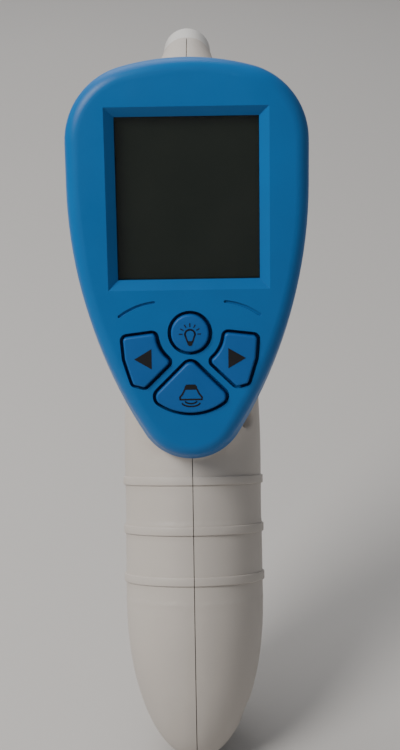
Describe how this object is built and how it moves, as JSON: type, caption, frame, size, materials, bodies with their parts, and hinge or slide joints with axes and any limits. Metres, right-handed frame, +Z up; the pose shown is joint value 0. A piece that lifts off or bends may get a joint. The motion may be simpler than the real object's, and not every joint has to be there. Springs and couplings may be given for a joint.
{
  "type": "infrared thermometer",
  "caption": "Pistol-grip infrared thermometer: egg-shaped display head with press keys, measuring nose, finger trigger and a sliding battery door in the grip.",
  "frame": {"origin": "centre of the nose cap's front rim", "axes": "+Y along the measuring direction, +Z up, +X to the user's right"},
  "size_m": [0.0492, 0.1042, 0.1486],
  "materials": {
    "bezel_blue": "satin",
    "key_blue": "satin",
    "case_white": "satin",
    "nose_white": "satin",
    "trigger_blue": "satin",
    "window_clear": "polished",
    "lcd_glass": "polished",
    "diffuser": "satin",
    "silicone": "matte",
    "board_green": "satin",
    "chip_black": "matte",
    "socket_cream": "satin",
    "steel": "satin",
    "nickel": "polished",
    "black_plastic": "matte",
    "tray_grey": "matte",
    "cell_skin": "gloss",
    "brass": "polished",
    "filter_dark": "polished",
    "lead_red": "satin",
    "lead_black": "satin",
    "lead_grey": "satin",
    "gold": "polished"
  },
  "bodies": {
    "case": {"display_bezel": "bezel_blue", "display_window": "window_clear", "lcd_panel": "lcd_glass", "lcd_backlight": "diffuser", "lcd_contact_strip": "silicone", "main_board": "board_green", "board_chips": "chip_black", "board_sockets": "socket_cream", "board_screws": "steel", "key_domes": "nickel", "buzzer": "black_plastic", "left_housing": "case_white", "right_housing": "case_white", "housing_screws": "steel", "battery_tray": "tray_grey", "battery_left": "cell_skin", "battery_right": "cell_skin", "battery_contacts": "nickel", "battery_springs": "nickel", "battery_lead_red": "lead_red", "battery_lead_black": "lead_black", "nose_cap": "nose_white", "sensor_sleeve": "brass", "thermopile": "nickel", "thermopile_pins": "gold", "sensor_window": "filter_dark", "sensor_board": "board_green", "sensor_cable": "lead_grey", "trigger_pin": "steel", "trigger_spring": "steel", "trigger_switch": "black_plastic", "switch_board": "board_green", "switch_lead": "lead_grey"},
    "light_key": {"light_key": "key_blue"},
    "left_key": {"left_key": "key_blue"},
    "right_key": {"right_key": "key_blue"},
    "sound_key": {"sound_key": "key_blue"},
    "trigger": {"trigger": "trigger_blue"},
    "plunger": {"switch_plunger": "black_plastic"},
    "battery_door": {"battery_door": "case_white"}
  },
  "joints": [
    {"name": "light_key_press", "type": "slide", "parent": "case", "child": "light_key", "axis": [0, 0.9659, -0.2588], "range_m": [0, 0.0006], "stiffness_N_per_m": 1500},
    {"name": "left_key_press", "type": "slide", "parent": "case", "child": "left_key", "axis": [0, 0.9659, -0.2588], "range_m": [0, 0.0006], "stiffness_N_per_m": 1500},
    {"name": "right_key_press", "type": "slide", "parent": "case", "child": "right_key", "axis": [0, 0.9659, -0.2588], "range_m": [0, 0.0006], "stiffness_N_per_m": 1500},
    {"name": "sound_key_press", "type": "slide", "parent": "case", "child": "sound_key", "axis": [0, 0.9659, -0.2588], "range_m": [0, 0.0006], "stiffness_N_per_m": 1500},
    {"name": "trigger_pull", "type": "hinge", "parent": "case", "child": "trigger", "pos_m": [0, -0.049, -0.031], "axis": [-1, 0, 0], "range_deg": [0, 6], "stiffness_Nm_per_rad": 0.4, "springref_deg": -2.86, "deforming": ["trigger_spring"]},
    {"name": "switch_press", "type": "slide", "parent": "case", "child": "plunger", "axis": [0, -1, 0], "range_m": [0, 0.0022]},
    {"name": "battery_door_slide", "type": "slide", "parent": "case", "child": "battery_door", "axis": [0, -0.5, -0.866], "range_m": [0, 0.06]}
  ],
  "couplings": [
    {"joint": "switch_press", "follows": "trigger_pull", "m_per_rad": 0.021}
  ]
}
